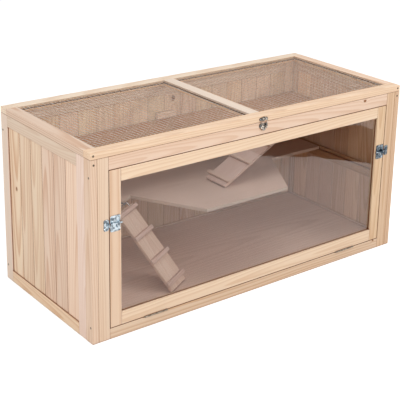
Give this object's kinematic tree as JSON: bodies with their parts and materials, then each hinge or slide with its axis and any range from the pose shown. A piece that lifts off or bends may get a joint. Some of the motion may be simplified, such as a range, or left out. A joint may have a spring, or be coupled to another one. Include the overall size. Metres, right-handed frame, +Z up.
{
  "type": "hamster cage",
  "caption": "Long wooden small-pet cage with a clear drop-down front door, a hinged wire-net lid, stepped decks inside and hooked ramps between them.",
  "frame": {"origin": "on the ground under the middle of the cage", "axes": "+X along the length to the right, +Y from the door to the back, +Z up"},
  "size_m": [1.15, 0.514, 0.55],
  "materials": {
    "pine": "planed and lightly oiled",
    "deck_ply": "sanded",
    "acrylic": "clear and glossy",
    "zinc": "bright zinc plate",
    "net_wire": "galvanised"
  },
  "bodies": {
    "case": {"back_boards": "pine", "back_bottom_rail": "pine", "back_left_stile": "pine", "back_right_stile": "pine", "back_top_rail": "pine", "bolt_keepers": "zinc", "clasp_base": "zinc", "deck_ledgers": "pine", "deck_stop_block": "pine", "door_stop": "pine", "floor_battens": "pine", "floor_panel": "deck_ply", "front_bottom_rail": "pine", "front_top_rail": "pine", "hinge_fixed_leaves": "zinc", "hinge_pins": "zinc", "left_back_stile": "pine", "left_boards": "pine", "left_bottom_rail": "pine", "left_corner_post": "pine", "left_door_post": "pine", "left_front_stile": "pine", "left_top_rail": "pine", "lower_deck": "deck_ply", "ramp_eyes": "zinc", "right_back_stile": "pine", "right_boards": "pine", "right_bottom_rail": "pine", "right_corner_post": "pine", "right_door_post": "pine", "right_front_stile": "pine", "right_top_rail": "pine", "upper_deck": "deck_ply"},
    "lid": {"lid_back_rail": "pine", "lid_front_rail": "pine", "lid_hinge_leaves": "zinc", "lid_left_net": "net_wire", "lid_left_rail": "pine", "lid_middle_bar": "pine", "lid_net_beads": "pine", "lid_right_net": "net_wire", "lid_right_rail": "pine", "clasp_strike": "zinc"},
    "door": {"bolt_plates": "zinc", "door_bottom_rail": "pine", "door_hinge_leaves": "zinc", "door_left_stile": "pine", "door_pane": "acrylic", "door_right_stile": "pine", "door_top_rail": "pine"},
    "left_bolt": {"left_bolt": "zinc"},
    "right_bolt": {"right_bolt": "zinc"},
    "clasp_lever": {"clasp_lever": "zinc"},
    "clasp_loop": {"clasp_loop": "zinc"},
    "lower_ramp": {"lower_ramp_plank": "pine", "lower_ramp_cleats": "pine", "lower_ramp_wire": "zinc"},
    "upper_ramp": {"upper_ramp_plank": "pine", "upper_ramp_cleats": "pine", "upper_ramp_wire": "zinc"}
  },
  "joints": [
    {"name": "lid_swing", "type": "hinge", "parent": "case", "child": "lid", "pos_m": [0, 0.2538, 0.53075], "axis": [-1, 0, 0], "range_deg": [0, 180]},
    {"name": "door_swing", "type": "hinge", "parent": "case", "child": "door", "pos_m": [0, -0.2523, 0.033], "axis": [1, 0, 0], "range_deg": [0, 90]},
    {"name": "left_bolt_slide", "type": "slide", "parent": "door", "child": "left_bolt", "axis": [-1, 0, 0], "range_m": [0, 0.01]},
    {"name": "right_bolt_slide", "type": "slide", "parent": "door", "child": "right_bolt", "axis": [1, 0, 0], "range_m": [0, 0.01]},
    {"name": "clasp_lever_swing", "type": "hinge", "parent": "case", "child": "clasp_lever", "pos_m": [0.005, -0.2536, 0.518], "axis": [-1, 0, 0], "range_deg": [0, 120]},
    {"name": "clasp_loop_swing", "type": "hinge", "parent": "clasp_lever", "child": "clasp_loop", "pos_m": [0.005, -0.2536, 0.513], "axis": [-1, 0, 0], "range_deg": [-120, 0]},
    {"name": "lower_ramp_lift", "type": "hinge", "parent": "case", "child": "lower_ramp", "pos_m": [-0.3103, 0.01361, 0.254], "axis": [-0.866, -0.5, 0], "range_deg": [0, 20]},
    {"name": "upper_ramp_lift", "type": "hinge", "parent": "case", "child": "upper_ramp", "pos_m": [0.3085, -0.007, 0.413], "axis": [0, 1, 0], "range_deg": [0, 45]}
  ],
  "couplings": [
    {"joint": "clasp_loop_swing", "follows": "clasp_lever_swing", "ratio": -1}
  ]
}
